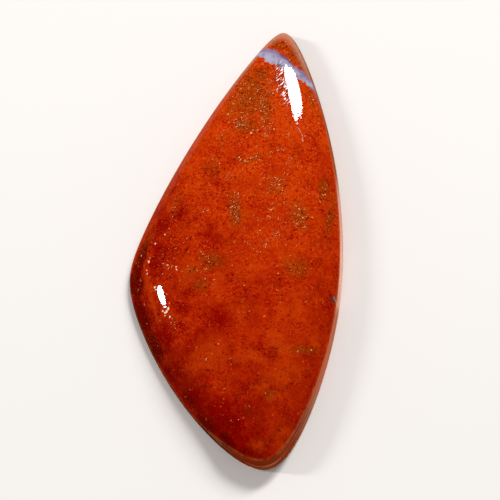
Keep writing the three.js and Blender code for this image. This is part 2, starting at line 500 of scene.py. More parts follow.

# %% [markdown]
# ## Clouds and mossy patches
#
# Places on the stone differ from the ground: dark red clouds, a lower left edge darkened by
# painted shade, brown moss with pits that carry painted glints, and patches of clear orange.
# Two patches on the left shoulder are painted reflections. Random noise would give clouds of
# the right kind in the wrong places. So each is a soft ellipse at a listed place, in
# coordinates pushed about by noise, which fray its edge like a plume.

# %% Where the clouds and large patches are
# Each patch: the place of its middle, half width and half length in mm, its turn in degrees,
# and its strength.
DARK_CLOUDS = [
    (6.3, 8.6, 0.7, 1.2, 10, 0.5), (5.9, 9.9, 0.6, 0.6, 0, 0.3), (-2.2, 7.2, 1.4, 0.7, 0, 0.3),
    (-1.5, 5.4, 0.8, 0.5, 0, 0.4), (7.3, 5.2, 0.6, 0.7, 0, 0.35), (-6.8, 1.8, 1.2, 1.3, -20, 0.85),
    (-5, 2.9, 1.7, 1.1, 15, 0.65), (-2.1, 0.5, 1.3, 1.1, 0, 0.55), (-7.5, 0.2, 0.7, 1.3, -20, 0.75),
    (-7.3, -1.7, 1, 2, -5, 0.95), (-6, -0.3, 1.8, 1.8, 0, 0.42), (-8, -6.6, 0.8, 2.2, 20, 0.65),
    (-4.8, -6.7, 1, 1.1, 0, 0.75), (-1.3, -8, 1.2, 1.6, 0, 0.8), (-2.9, -9.9, 1.6, 1.2, 20, 0.8),
    (2.6, -10.8, 0.8, 0.75, 0, 0.65), (2.3, -4.5, 0.8, 1.3, 0, 0.4), (3.8, -6.5, 1, 0.8, 0, 0.25),
    (8.8, -6, 1, 1.9, 0, 0.42), (0, 0.1, 1.2, 1.3, 0, 0.35), (3, 4.9, 1.1, 1, 0, 0.3),
    (-3.6, -11, 1.1, 1.2, 0, 0.8), (-5.7, -3.6, 0.7, 0.8, 0, 0.45), (2, -17, 1.9, 1.4, 0, 0.6),
    (-1.4, -17, 1.8, 1.6, 20, 1), (1, -19.4, 1.5, 1, -30, 0.8), (-3.6, -15.2, 1.1, 1.5, 35, 0.8),
    (-6.7, -9.2, 1.1, 2.6, 30, 0.7), (-5.4, -12.4, 1, 1.8, 35, 0.5), (0.3, -18.3, 1.1, 1, 0, 1.1),
    (-3.4, -11.6, 0.9, 0.8, 0, 0.75), (-5.8, 5.7, 0.9, 0.9, 0, 0.45), (-4.9, -8.1, 0.8, 0.9, 0, 0.6),
    (9.3, -6.6, 0.5, 0.9, 0, 0.6), (-3.8, 2.1, 0.9, 0.8, 0, 0.5), (-7.1, 3.4, 0.7, 0.9, 0, 0.5),
    (7.7, -6.6, 0.8, 1, 0, 0.4),
]
# Small places where the orange is clearest.
CLEAR_PATCHES = [
    (4.6, -10.2, 1.2, 1.2, 0, 0.9), (1.3, 2.3, 1, 1, 0, 0.7), (2.4, -20, 1.2, 0.6, -20, 0.6),
    (8.4, 1.2, 0.6, 1.2, 0, 0.7), (2.8, -14.5, 0.9, 0.9, 0, 0.6), (7.8, -10.2, 0.6, 1.2, 0, 0.7),
    (5.2, -2, 1, 1, 0, 0.7), (4.6, -20, 0.8, 0.8, 0, 0.5), (4.4, -15.6, 0.8, 0.8, 0, 0.4),
    (1.8, -11.5, 1.5, 1, -20, 0.65), (5, -7.5, 0.8, 1, 0, 0.6), (-0.9, -3.6, 0.9, 1, 0, 0.5),
]
# Painted shade: the lower left edge is darkened as if in shadow, and is the darkest part.
PAINTED_EDGE_SHADE = [
    (-9.5, -3.6, 0.9, 1.6, 5, 1.3), (-9.1, -1.2, 0.6, 2, -18, 1.2), (-8.5, 0.9, 0.4, 1.6, -25, 0.55),
    (-9, -6.8, 0.8, 2, 20, 1.2), (-0.2, -18.1, 1.6, 1.6, 0, 0.42), (1.9, -16.8, 1.2, 1, 0, 0.3),
    (-7.9, -9.8, 0.8, 2, 30, 1.2), (-6.3, -12.4, 0.6, 1.5, 35, 0.6), (-4.2, -15.2, 0.6, 1.5, 35, 0.6),
    (-2.6, -17.8, 0.7, 1.6, 38, 1), (-0.6, -19.4, 0.7, 1.3, 50, 1), (1.4, -20.6, 0.5, 1.2, 65, 0.5),
]
# Brown moss.
BROWN_PATCHES = [
    (2.9, 17, 1, 1.1, 0, 0.8), (1.4, 11.4, 1.2, 0.9, 0, 1), (3.2, 13.2, 0.8, 2.2, 0, 0.9),
    (0.4, 14.2, 1, 2, -25, 0.8), (-1.1, 10, 0.8, 0.8, 0, 0.5), (-1.8, 7.4, 1, 1.2, 0, 0.5),
    (0.4, 2.6, 0.7, 1.7, 8, 1), (2.2, 8, 1.8, 0.4, 25, 0.7), (4.3, 5.3, 1.2, 1.2, 0, 0.6),
    (6.6, 2.2, 0.9, 1.5, 20, 0.9), (8.75, 5, 0.45, 1.1, -5, 1.3), (9.4, 2.4, 0.45, 2.4, -8, 0.85),
    (-5.4, 4.1, 0.6, 1.4, -25, 0.6), (-1.8, -2.1, 1.4, 1, 0, 0.9), (-3.8, -3, 1.2, 0.8, 0, 0.6),
    (6.4, -3, 1.4, 1.2, 0, 0.8), (6.9, -11, 1.6, 0.5, 0, 0.8), (3.7, -15.3, 0.7, 0.6, 0, 0.6),
    # The patch at (-8.4, 1.2) on the left shoulder is a painted reflection, not moss.
    (2.3, -16.9, 1.7, 1.2, 0, 0.3), (-8.4, 1.2, 0.5, 1.8, -25, 0.55), (1.6, 14.8, 1.9, 3.2, -15, 1),
    (4.6, 20, 1.2, 0.6, -20, 1.3), (5.9, 18.9, 0.7, 0.9, 35, 1.3), (6.9, 17.7, 0.5, 1.2, 35, 1.2),
    (2.7, 16.7, 0.8, 0.8, 0, 1.2), (-3, -4.4, 1, 0.8, 0, 0.7), (7.7, 14.2, 0.5, 2.4, 20, 0.6),
]
# Broad clouds of clearer orange.
ORANGE_PATCHES = [
    (0.8, 6.8, 2, 2.6, 0, 0.5), (5.4, 11.9, 1.3, 4, 10, 0.6), (5.6, 5.7, 1.6, 2, 0, 0.5),
    (1.8, -2.6, 1.8, 1.6, 0, 0.5), (-2.4, -11.6, 2.4, 1.6, 30, 0.7), (4.7, -13.4, 1.8, 2.2, 0, 0.7),
    (-0.2, 11, 1.6, 2, 0, 0.4), (6.2, -17, 0.8, 1.4, -15, 0.15), (-4.3, -3.2, 1.6, 1.4, 0, 0.5),
    # The narrow streak at (-7.9, -5.4) on the left shoulder is a painted reflection.
    (6.6, -7, 1.2, 3, 0, 0.5), (4.5, -18.3, 1, 1, 0, 0.6), (-7.9, -5.4, 0.4, 2.6, 20, 0.9),
    (1, -8, 1.4, 1.8, 0, 0.4),
]
print("large patches:", len(DARK_CLOUDS + CLEAR_PATCHES + PAINTED_EDGE_SHADE + BROWN_PATCHES + ORANGE_PATCHES))

# %% Where the pits, scratches and strokes are
# Where pits crowd together, with more painted glints and painted shade beside them.
SPARK_PATCHES = [
    (2.9, 13.9, 0.25, 1.3, 5, 0.9), (3.1, 15, 0.7, 0.25, 0, 0.8), (1.5, 14.2, 0.8, 0.2, -15, 0.6),
    (1.1, 12.6, 0.5, 0.5, 30, 0.7), (0.7, 11.6, 0.8, 0.45, -20, 1), (1, 10.7, 0.2, 0.6, 0, 0.8),
    (2.2, 10.8, 0.6, 0.3, 0, 1), (3.3, 11.2, 0.6, 0.4, -20, 1), (3.4, 10.5, 0.2, 0.3, 0, 0.8),
    (5.3, 10.6, 0.4, 0.25, 0, 0.7), (-1.1, 10.3, 0.35, 0.3, 0, 0.6), (0.75, 7.75, 0.3, 0.4, 0, 0.8),
    (2, 8.1, 0.9, 0.2, 30, 1), (3.9, 8.6, 0.4, 0.2, 20, 0.9), (4.7, 8.9, 0.3, 0.2, 0, 0.8),
    (5.7, 8, 0.2, 0.4, 0, 0.6), (0.4, 2.8, 0.35, 1.3, 8, 1), (2, -0.9, 1.3, 0.2, -45, 0.8),
    (3.3, -0.6, 0.25, 1, -20, 0.8), (4.3, 0.1, 0.3, 0.5, -30, 0.7), (3.8, 2.9, 0.4, 0.3, 0, 0.8),
    (4.5, 1.8, 0.5, 0.3, 0, 0.5), (2.4, 1.9, 0.3, 0.3, 0, 0.5), (-0.2, 6.1, 0.35, 0.2, 20, 0.8),
    (-2.6, 3, 0.4, 0.15, 0, 0.6), (-5.5, 1.9, 0.3, 0.7, 20, 0.25), (-8.5, -2.1, 0.3, 1.8, -20, 0.25),
    (-6.9, 0.5, 1.1, 0.3, 40, 0.25), (-5.9, -2.2, 0.5, 0.5, 0, 0.7), (-5.5, -7.9, 0.2, 0.7, 25, 0.9),
    (6.4, 2, 0.9, 1.2, 20, 0.5), (4.4, 5.4, 0.9, 0.9, 0, 0.5), (2.2, 13, 2.6, 4, -10, 0.08),
    (4.6, 4.2, 3.4, 3.6, 0, 0.12), (-3, -2.6, 3, 2.2, 0, 0.1), (-1, -9.5, 5, 5.5, 0, 0.008),
]
# Where the last belt left fine scratches that the buffing didn't reach.
SCUFFED_PATCHES = [(4.85, 15.9, 0.62, 2.2, 12, 1.3)]
# Where the dark strokes of moss crowd together.
STROKE_PATCHES = [
    (-5.9, -0.8, 1.2, 1.5, 0, 1), (-1.7, 6.6, 1.6, 2.2, 0, 0.7), (0.4, 2.4, 0.7, 1.2, 8, 0.8),
    (-1.5, -14, 3.2, 3, 0, 0.65),
]
# Painted glints: single pits at the left that catch the lamp, and the broken end of its
# highlight. The last four rows are a pale scratch under the right highlight.
PAINTED_PIT_GLINTS = [
    (-8.15, -1.55, 0.06, 0.1, 20, 2), (-8.42, -2.38, 0.06, 0.07, 0, 2), (-8.35, -2.8, 0.06, 0.07, 0, 2),
    (-9.06, -0.78, 0.05, 0.08, 20, 1.6), (-7.56, 0.19, 0.05, 0.08, 20, 1.6),
    (-6.51, 0.81, 0.05, 0.05, 0, 1.6), (-6.2, -2.3, 0.11, 0.06, 0, 1.2), (-5.3, -2.5, 0.08, 0.06, 30, 2),
    (-5.26, -2.8, 0.05, 0.11, 20, 2), (-7.42, -4.22, 0.08, 0.1, -20, 1.7), (-7.4, -4.5, 0.07, 0.09, 0, 1.7),
    (-6.55, -6.35, 0.09, 0.08, 0, 2), (-6.08, -6.5, 0.09, 0.12, 10, 2.2), (-6.7, -6.75, 0.1, 0.07, 0, 2),
    (-6.22, -6.72, 0.08, 0.12, -30, 2.2), (-6.43, -6.86, 0.14, 0.06, 0, 2.2),
    (-6.52, -7.12, 0.07, 0.06, 0, 1.8), (-5.95, -7.37, 0.08, 0.08, 0, 2), (-5.98, -6, 0.05, 0.06, 0, 1.2),
    (-5.78, -8, 0.05, 0.05, 0, 0.9), (-5.4, -8.53, 0.05, 0.05, 0, 0.9), (-6.28, -5.05, 0.05, 0.06, 0, 0.9),
    (-7.2, -4.45, 0.08, 0.06, 0, 1.8), (-6.62, -5.35, 0.06, 0.06, 0, 1.8), (-6.52, -5.85, 0.07, 0.09, 0, 2),
    (-6.86, -4.98, 0.06, 0.06, 0, 1.8), (6.5, 10.9, 0.05, 0.3, 18, 0.7),
    (6.72, 10.38, 0.05, 0.26, 18, 0.75), (6.85, 9.9, 0.05, 0.26, 8, 0.7),
    (6.98, 10.32, 0.17, 0.05, 20, 0.75),
]
print("small patches:", len(SPARK_PATCHES + SCUFFED_PATCHES + STROKE_PATCHES + PAINTED_PIT_GLINTS))

# %% Join the patches of each kind
# Small patches use coordinates that are only pushed a little, so they stay in their places.
KINDS = [
    ("dark", DARK_CLOUDS, plumed), ("edge", PAINTED_EDGE_SHADE, fringed), ("orange", ORANGE_PATCHES, frayed),
    ("clear", CLEAR_PATCHES, plumed), ("brown", BROWN_PATCHES, fringed), ("sparks", SPARK_PATCHES, fringed),
    ("pits", PAINTED_PIT_GLINTS, fringed), ("scuffed", SCUFFED_PATCHES, fringed),
    ("strokes", STROKE_PATCHES, fringed),
]
# Each patch is a ball of gradient, stretched to 1.5 times its size because its rim is faint, and
# high enough to reach through the stone.
REACH, PATCH_Z, PATCH_HEIGHT = 1.5, 3.6, 14
amounts = {}
for name, patches, coordinates in KINDS:
    amount = 0.0
    for x, y, half_width, half_length, turn, strength in patches:
        local = add("Mapping", {
            "Vector": coordinates, "Location": (x, y, PATCH_Z), "Rotation": (0, 0, math.radians(turn)),
            "Scale": (REACH * half_width, REACH * half_length, PATCH_HEIGHT)}, vector_type="TEXTURE")[0]
        ball = add("TexGradient", {"Vector": local}, gradient_type="SPHERICAL")[1]
        scaled = add("Math", [ball, strength], operation="MULTIPLY")[0]
        amount = add("Math", [scaled, amount], operation="MAXIMUM")[0]
    amounts[name] = amount
print("kinds of patches:", list(amounts))

# %% Paint them over the ground
# A noise about 1 mm across breaks the patches up, so none keeps a clean edge.
BREAKUP_STRENGTH = 1.1
breakup = add("TexNoise", {"Vector": fringed, "Scale": 1 / 1.0, "Detail": 6, "Roughness": 0.72})[0]
# Each kind: colour, where its edge begins and ends, and how strongly it covers.
PATCH_COLOURS = {
    "dark": ("#860000", 0.58, 1.22, 0.92),
    "orange": ("#cc4206", 0.62, 1.20, 0.50),
    "clear": ("#cc4206", 0.62, 1.20, 0.50),
    # Painted shade along the lower left edge.
    "edge": ("#620000", 0.62, 1.25, 0.94),
    "brown": ("#8a3c05", 0.60, 1.40, 0.58),
}
body_colour = ground
for name, (tone, edge_start, edge_end, cover) in PATCH_COLOURS.items():
    rough_edge = add("Math", [breakup, BREAKUP_STRENGTH, amounts[name]], operation="MULTIPLY_ADD")[0]
    share = add("MapRange", {
        "Value": rough_edge, "From Min": edge_start, "From Max": edge_end, "To Max": cover},
        interpolation_type="SMOOTHSTEP")[0]
    amounts[name + "_share"] = share
    body_colour = add("Mix", {0: share, 6: body_colour, 7: linear(tone)}, data_type="RGBA")[2]
# Grains finer than a pixel wouldn't show, so they are drawn 0.15 mm across. They make the
# colour a little lighter and darker, and most of all in red.
GRAIN_STRENGTH = (0.62, 0.13, 0.02)
DARKEST = (0.02, 0.0, 0.0)
fine_grain = add("TexNoise", {
    "Vector": mm, "Scale": 1 / 0.15, "Detail": 2, "Roughness": 0.7, "Distortion": 0.6})[0]
grain_turn = add("Math", [fine_grain, 0.5], operation="SUBTRACT")[0]
grain_turn = add("Math", [grain_turn, texture], operation="MULTIPLY")[0]
grainy_spots = add("TexNoise", {"Vector": fringed, "Scale": 1 / 1.6, "Detail": 2})[0]
grainy = add("MapRange", {
    "Value": grainy_spots, "From Min": 0.36, "From Max": 0.64, "To Min": 0.25, "To Max": 1.5})[0]
grain_turn = add("Math", [grain_turn, grainy], operation="MULTIPLY")[0]
grained = add("VectorMath", [grain_turn, GRAIN_STRENGTH, body_colour], operation="MULTIPLY_ADD")[0]
body_colour = add("VectorMath", [grained, DARKEST], operation="MAXIMUM")[0]
print("nodes so far:", len(agate.nodes))

# %% [markdown]
# ## Strokes, specks and pits
#
# Close up, the moss is short dark strokes and specks, 0.1 to 0.3 mm across, which is one to
# three pixels here. Pits among them sparkle, and the sparkle is painted: bright dots as painted
# glints, each with a dark dot of painted shade beside it. They could be scattered as thousands
# of tiny objects, but those would stand proud of the polish. Specks are Voronoi cells instead:
# each cell holds one dot, and a random number decides whether it shows.
# The brown moss holds many more of them. From here on each step makes a share and a tone, a
# layer of paint, and all of them are laid over the ground at the end.

# %% Dark strokes of moss
# Where a noise crosses its middle value lie thin winding lines. A second noise leaves only
# short pieces of them, and a lower start leaves more: in the moss, and where strokes crowd.
PIECE_START, IN_MOSS, IN_STROKES, PIECE_EDGE = 0.555, -0.26, -0.16, 0.06
STROKE_COVER = 0.80
winding = add("TexNoise", {
    "Vector": fringed, "Scale": 1 / 0.62, "Detail": 2, "Roughness": 0.6, "Distortion": 0.8})[0]
off_winding = add("Math", [winding, 0.5], operation="SUBTRACT")[0]
beside_line = add("Math", [off_winding], operation="ABSOLUTE")[0]
line = add("MapRange", {
    "Value": beside_line, "From Min": 0.040, "From Max": 0.016}, interpolation_type="SMOOTHSTEP")[0]
pieces = add("TexNoise", {"Vector": mm, "Scale": 1 / 0.45, "Detail": 2, "Roughness": 0.7})[0]
moss_start = add("Math", [amounts["brown_share"], IN_MOSS, PIECE_START], operation="MULTIPLY_ADD")[0]
piece_start = add("Math", [amounts["strokes"], IN_STROKES, moss_start], operation="MULTIPLY_ADD")[0]
piece_full = add("Math", [piece_start, PIECE_EDGE], operation="ADD")[0]
piece = add("MapRange", {"Value": pieces, "From Min": piece_start, "From Max": piece_full})[0]
strokes = add("Math", [line, piece], operation="MULTIPLY")[0]
stroke_cover = add("Math", [strokes, STROKE_COVER], operation="MULTIPLY")[0]
layers = [(stroke_cover, "#660800")]
print("layers of paint:", len(layers))

# %% Dark specks and bright grains
# Each kind: cell size and dot radius in mm, share of cells with a dot, how many more in the
# moss and among the sparks, colour, and how strongly it covers. The bright dots are painted
# glints of pits, and a pit has a shaded side, so each bright dot has a dark one of painted
# shade beside it: the same cells, moved by about a dot's width.
SPECKS = {
    "dark": (0.33, 0.115, 0.09, 0.70, 0.20, "#560800", 1.00, (0, 0, 0)),
    "deep": (0.28, 0.095, 0.16, 0.35, 0.0, "#7c1000", 0.80, (0, 0, 0)),
    "rust": (0.26, 0.085, 0.22, 0.35, 0.0, "#f47c2c", 0.70, (0, 0, 0)),
    "shade": (0.19, 0.095, 0.008, 0.26, 1.15, "#2c0600", 1.60, (-0.070, 0.065, 0)),
    "bright": (0.19, 0.058, 0.008, 0.26, 1.15, "#ffc47c", 4.50, (0, 0, 0)),
}
# A fine noise makes the dots uneven. They differ in size, as shares of the radius, and few are bold.
WOBBLE_SIZE, WOBBLE = 0.13, 0.50
SMALLEST, LARGEST, CORE = 0.6, 1.35, 0.5
FEW_ARE_BOLD, FAINTEST = 2.5, 0.2
for cell, radius, everywhere, in_moss, in_sparks, tone, cover, moved in SPECKS.values():
    shifted = add("VectorMath", [mm, moved], operation="ADD")[0]
    wobble = add("TexNoise", {"Vector": shifted, "Scale": 1 / WOBBLE_SIZE, "Detail": 1})["Color"]
    uneven = add("VectorMath", [wobble, (WOBBLE,) * 3, shifted], operation="MULTIPLY_ADD")[0]
    dots = add("TexVoronoi", {"Vector": uneven, "Scale": 1 / cell})
    chance = add("SeparateColor", [dots["Color"]])
    common = add("Math", [texture, everywhere], operation="MULTIPLY")[0]
    moss_limit = add("Math", [amounts["brown_share"], in_moss, common], operation="MULTIPLY_ADD")[0]
    limit = add("Math", [amounts["sparks"], in_sparks, moss_limit], operation="MULTIPLY_ADD")[0]
    shows = add("Math", [chance[0], limit], operation="LESS_THAN")[0]
    size = add("MapRange", {
        "Value": chance[1], "To Min": SMALLEST * radius / cell, "To Max": LARGEST * radius / cell})[0]
    core = add("Math", [size, CORE], operation="MULTIPLY")[0]
    dot = add("MapRange", {
        "Value": dots["Distance"], "From Min": size, "From Max": core}, interpolation_type="SMOOTHSTEP")[0]
    few_bold = add("Math", [chance[2], FEW_ARE_BOLD], operation="POWER")[0]
    boldness = add("MapRange", {"Value": few_bold, "To Min": FAINTEST * cover, "To Max": cover})[0]
    covered = add("Math", [dot, boldness], operation="MULTIPLY", use_clamp=True)[0]
    layers.append((add("Math", [covered, shows], operation="MULTIPLY")[0], tone))
print("layers of paint:", len(layers))

# %% Chip marks and painted pit glints
# At the chip on the right arris the stone is painted smoky grey, with a pale streak as a painted highlight.
# Each mark: place, radius in mm and colour.
CHIP_MARKS = [(9.45, -5.85, 2.3, 0.60, "#4a2c22"), (9.60, -5.75, 2.0, 0.32, "#82706c")]
MARK_CORE, MARK_COVER = 0.3, 0.75
for x, y, z, radius, tone in CHIP_MARKS:
    off_mark = add("VectorMath", [plumed, (x, y, z)], operation="DISTANCE")["Value"]
    share = add("MapRange", {
        "Value": off_mark, "From Min": radius, "From Max": MARK_CORE * radius, "To Max": MARK_COVER},
        interpolation_type="SMOOTHSTEP")[0]
    layers.append((share, tone))
# Painted glints of single pits, in pale cream.
pit_glint_share = add("MapRange", {"Value": amounts["pits"], "From Min": 0.25, "From Max": 1.10})[0]
layers.append((pit_glint_share, "#ffe8cc"))
print("layers of paint:", len(layers))

# %% [markdown]
# ## The chalcedony seam
#
# A crack in the red stone was filled later by clear grey-lavender chalcedony: the seam. It is
# a thin sheet that stands on edge, so it is drawn as a band around a line across the tip, and
# it shows on the walls too. Two curves give the line's place and the band's half width along
# x. Its lower border is paler, its upper border reddish violet where iron seeped in, and both
# are jagged because the quartz grew outwards in small points.

# %% Seam: line and width
SEAM_LINE = [
    (0.0, 19.9), (2.2, 19.4), (3.0, 19.05), (3.6, 18.8), (4.4, 18.4), (4.9, 18.0), (5.5, 17.65),
    (6.3, 16.9), (6.9, 16.6), (7.3, 16.15), (7.8, 15.6), (9.0, 14.2),
]
SEAM_HALF_WIDTH = [
    (0.0, 0.28), (2.2, 0.34), (3.0, 0.62), (3.6, 0.80), (4.4, 0.82), (4.9, 0.86), (5.5, 0.62), (6.3, 0.60),
    (6.9, 0.54), (7.3, 0.46), (7.7, 0.26), (9.0, 0.05),
]
# How far the jags reach along each axis, and the scales that bring the curves into 0 to 1.
JAGS = (0.9, 0.9, 0.2)
CURVE_X, LINE_SCALE, WIDTH_SCALE = 10.0, 20.0, 1.0
seam_place = add("VectorMath", [shift(0.34, 3, 0.7), JAGS, mm], operation="MULTIPLY_ADD")[0]
seam_xyz = add("SeparateXYZ", [seam_place])
x_share = add("Math", [seam_xyz["X"], CURVE_X], operation="DIVIDE")[0]
seam_values = []
for points, scale in ((SEAM_LINE, LINE_SCALE), (SEAM_HALF_WIDTH, WIDTH_SCALE)):
    value = add("FloatCurve", {"Value": x_share})[0]
    curve = value.node.mapping.curves[0]
    places = [(x / CURVE_X, y / scale) for x, y in points]
    curve.points[0].location = places[0]
    curve.points[-1].location = places[-1]
    for between in places[1:-1]:
        curve.points.new(*between)
    value.node.mapping.update()
    seam_values.append(add("Math", [value, scale], operation="MULTIPLY")[0])
off_line = add("Math", [seam_xyz["Y"], seam_values[0]], operation="SUBTRACT")[0]
seam_across = add("Math", [off_line, seam_values[1]], operation="DIVIDE")[0]
seam_off = add("Math", [seam_across], operation="ABSOLUTE")[0]
seam_share = add("MapRange", {
    "Value": seam_off, "From Min": 1.08, "From Max": 0.86}, interpolation_type="SMOOTHSTEP")[0]
print("seam points:", len(SEAM_LINE), len(SEAM_HALF_WIDTH))

# %% Seam: colours across it
SEAM_TONES = [(0.00, "#b58a84"), (0.12, "#a59db2"), (0.45, "#a8a3bb"), (0.72, "#938aa6"),
              (0.90, "#6a4766"), (1.00, "#64202a")]
seam_position = add("MapRange", {"Value": seam_across, "From Min": -1.0, "From Max": 1.0})[0]
# The iron-stained violet border only lies along the middle of the seam.
BORDER_MIDDLE_X = 5.1
off_middle = add("Math", [seam_xyz["X"], BORDER_MIDDLE_X], operation="SUBTRACT")[0]
from_middle = add("Math", [off_middle], operation="ABSOLUTE")[0]
border_limit = add("MapRange", {
    "Value": from_middle, "From Min": 0.4, "From Max": 0.9, "To Min": 1.0, "To Max": 0.78})[0]
bordered = add("Math", [seam_position, border_limit], operation="MINIMUM")[0]
seam_ramp = add("ValToRGB", [bordered])[0]
print("seam tones:", set_tones(seam_ramp, SEAM_TONES))
seam_clouds = add("TexNoise", {"Vector": mm, "Scale": 1 / 0.9, "Detail": 4, "Roughness": 0.6})[0]
violet_share = add("MapRange", {"Value": seam_clouds, "From Min": 0.50, "From Max": 0.68, "To Max": 0.6})[0]
seam_colour = add("Mix", {0: violet_share, 6: seam_ramp, 7: linear("#6a4c74")}, data_type="RGBA")[2]
# Painted reflection: near the outline towards the tip the red is painted a greyish pink, as
# the rim there mirrors pale surroundings. The seam isn't red, so it is drawn over that.
TIP_REFLECTION_COVER = 0.90
tip_reflection_here = add("Attribute", attribute_name="tip_painted_reflection")["Fac"]
tip_reflection_share = add("Math", [tip_reflection_here, TIP_REFLECTION_COVER], operation="MULTIPLY")[0]
layers += [(tip_reflection_share, "#b8846a"), (seam_share, seam_colour)]
print("layers of paint:", len(layers))

# %% [markdown]
# ## Scratches, painted light on the walls and worn edges
#
# Beside the seam the last belt left fine scratches. They could be cut as bumps, but they are
# only a pixel wide, and such bumps flicker with the sampling. Painted dashes stay the same in
# every render: pale ones, painted glints where the scratches catch the lamp, and dark grooves
# between them. The walls and the arris get painted light from the numbers on the points.

# %% Scratches beside the seam
# The scratches run up to the right, so the noise is stretched that way. Real ones are a few
# hundredths of a millimetre wide and are drawn 0.11 mm wide to show.
SCRATCH_TURN = math.radians(53)
SCRATCH_SIZE = (0.46, 0.112, 0.30)
GLINT_START, MORE_IN_SCUFFS, GLINT_EDGE = 0.71, -0.125, 0.02
scratch_place = add("Mapping", {
    "Vector": mm, "Rotation": (0, 0, SCRATCH_TURN), "Scale": SCRATCH_SIZE}, vector_type="TEXTURE")[0]
scratches = add("TexNoise", {"Vector": scratch_place, "Scale": 1.0, "Detail": 1, "Roughness": 0.5})[0]
scuffed = add("MapRange", {"Value": amounts["scuffed"], "From Min": 0.05, "From Max": 0.6})[0]
glint_start = add("Math", [scuffed, MORE_IN_SCUFFS, GLINT_START], operation="MULTIPLY_ADD")[0]
glint_full = add("Math", [glint_start, GLINT_EDGE], operation="ADD")[0]
# The white dashes are painted glints.
for start, full, cover, tone in ((0.47, 0.41, 0.85, "#54261a"), (glint_start, glint_full, 1.0, "#ffffff")):
    dash = add("MapRange", {"Value": scratches, "From Min": start, "From Max": full, "To Max": cover})[0]
    layers.append((add("Math", [dash, scuffed], operation="MULTIPLY")[0], tone))
print("layers of paint:", len(layers))

# %% Painted light on the walls and the arris
# Painted light: the walls are painted bright where they would be lit from the side, more in
# some places than in others, and the pale part of the right wall is a painted reflection. The
# sharp arris gets a thin paler line, a painted highlight, which a noise breaks up.
uneven_painted_light = add("MapRange", {
    "Value": breakup, "From Min": 0.35, "From Max": 0.65, "To Min": 0.72, "To Max": 1.20})[0]
PAINTED_WALL_LIGHT = [("right_wall_painted_light", "#ff7a21", 0.57), ("lower_wall_painted_light", "#e76e45", 0.64),
             ("bottom_wall_painted_light", "#b8541c", 0.32), ("pale_wall_painted_reflection", "#ffbaa1", 0.68)]
for attribute, tone, cover in PAINTED_WALL_LIGHT:
    here = add("Attribute", attribute_name=attribute)["Fac"]
    wall_light_share = add("Math", [here, cover], operation="MULTIPLY")[0]
    layers.append((add("Math", [wall_light_share, uneven_painted_light], operation="MULTIPLY")[0], tone))
# The belt runs along the wall and leaves faint lines. Real ones are about 0.02 mm wide, and
# here they are drawn 0.4 mm wide to show.
LINE_SIZE = (7.0, 7.0, 0.42)
belt_place = add("Mapping", {"Vector": mm, "Scale": LINE_SIZE}, vector_type="TEXTURE")[0]
belt_noise = add("TexNoise", {"Vector": belt_place, "Scale": 1.0, "Detail": 3, "Roughness": 0.65})[0]
on_any_wall = add("Attribute", attribute_name="any_wall")["Fac"]
for tone, start, full, cover in (("#602008", 0.49, 0.36, 0.60), ("#f4ac7c", 0.54, 0.68, 0.50)):
    line_here = add("MapRange", {
        "Value": belt_noise, "From Min": start, "From Max": full, "To Max": cover})[0]
    layers.append((add("Math", [line_here, on_any_wall], operation="MULTIPLY")[0], tone))
# Painted highlight: a thin paler line along the sharp arris, which also dulls the worn arris.
wear_and_highlight_here = add("Attribute", attribute_name="arris_wear_and_highlight")["Fac"]
arris_line_noise = add("TexNoise", {"Vector": mm, "Scale": 1 / 0.5, "Detail": 3})[0]
arris_line_breakup = add("MapRange", {
    "Value": arris_line_noise, "From Min": 0.35, "From Max": 0.60, "To Min": 0.08, "To Max": 0.36})[0]
wear_and_highlight_share = add("Math", [wear_and_highlight_here, arris_line_breakup], operation="MULTIPLY")[0]
layers.append((wear_and_highlight_share, "#c8733f"))
print("layers of paint:", len(layers))

# %% Lay the layers over the ground, each over the ones before
coloured = body_colour
for share, tone in layers:
    top = linear(tone) if isinstance(tone, str) else tone
    coloured = add("Mix", {0: share, 6: coloured, 7: top}, data_type="RGBA")[2]
print("nodes so far:", len(agate.nodes))

# %% [markdown]
# ## The polish
#
# The face was sanded on finer and finer belts and buffed with oxide, so it is glossy and
# mirrors the lamps with sharp edges. Quartz has an IOR of 1.54 and no metallic share. A clear
# coat would also look wet, but here the polish is the stone's own, so the one layer is enough.
# The moss takes the polish a little less well, the worn arris is duller, and the flat back was
# only ground, so it is matt.

# %% Gloss
MOSS_DULLS, WEAR_DULLS, GROUND_BACK = 0.02, 0.35, 0.42
height = add("SeparateXYZ", [mm])["Z"]
is_back = add("MapRange", {"Value": height, "From Min": 0.02, "From Max": 0.0})[0]
polish_noise = add("TexNoise", {"Vector": mm, "Scale": 1 / 1.5, "Detail": 4})[0]
polish = add("MapRange", {
    "Value": polish_noise, "From Min": 0.3, "From Max": 0.7, "To Min": 0.012, "To Max": 0.03})[0]
mossy = add("Math", [amounts["brown_share"], MOSS_DULLS, polish], operation="MULTIPLY_ADD")[0]
worn = add("Math", [wear_and_highlight_share, WEAR_DULLS, mossy], operation="MULTIPLY_ADD")[0]
roughness = add("Mix", {0: is_back, 2: worn, 3: GROUND_BACK})[0]
print("nodes so far:", len(agate.nodes))

# %% A fine ripple, with its depth in metres
RIPPLE_DEPTH = 0.000003
fine_ripple = add("TexNoise", {"Vector": mm, "Scale": 1 / 0.40, "Detail": 2, "Roughness": 0.6})[0]
ripple_bump = add("Bump", {"Height": fine_ripple, "Distance": RIPPLE_DEPTH})[0]
surface = add("BsdfPrincipled", {
    "Base Color": coloured, "Roughness": roughness, "Normal": ripple_bump, "IOR": 1.54})[0]
add("OutputMaterial", {"Surface": surface})
mesh.materials.append(polished_agate)
print("nodes in the agate:", len(agate.nodes))

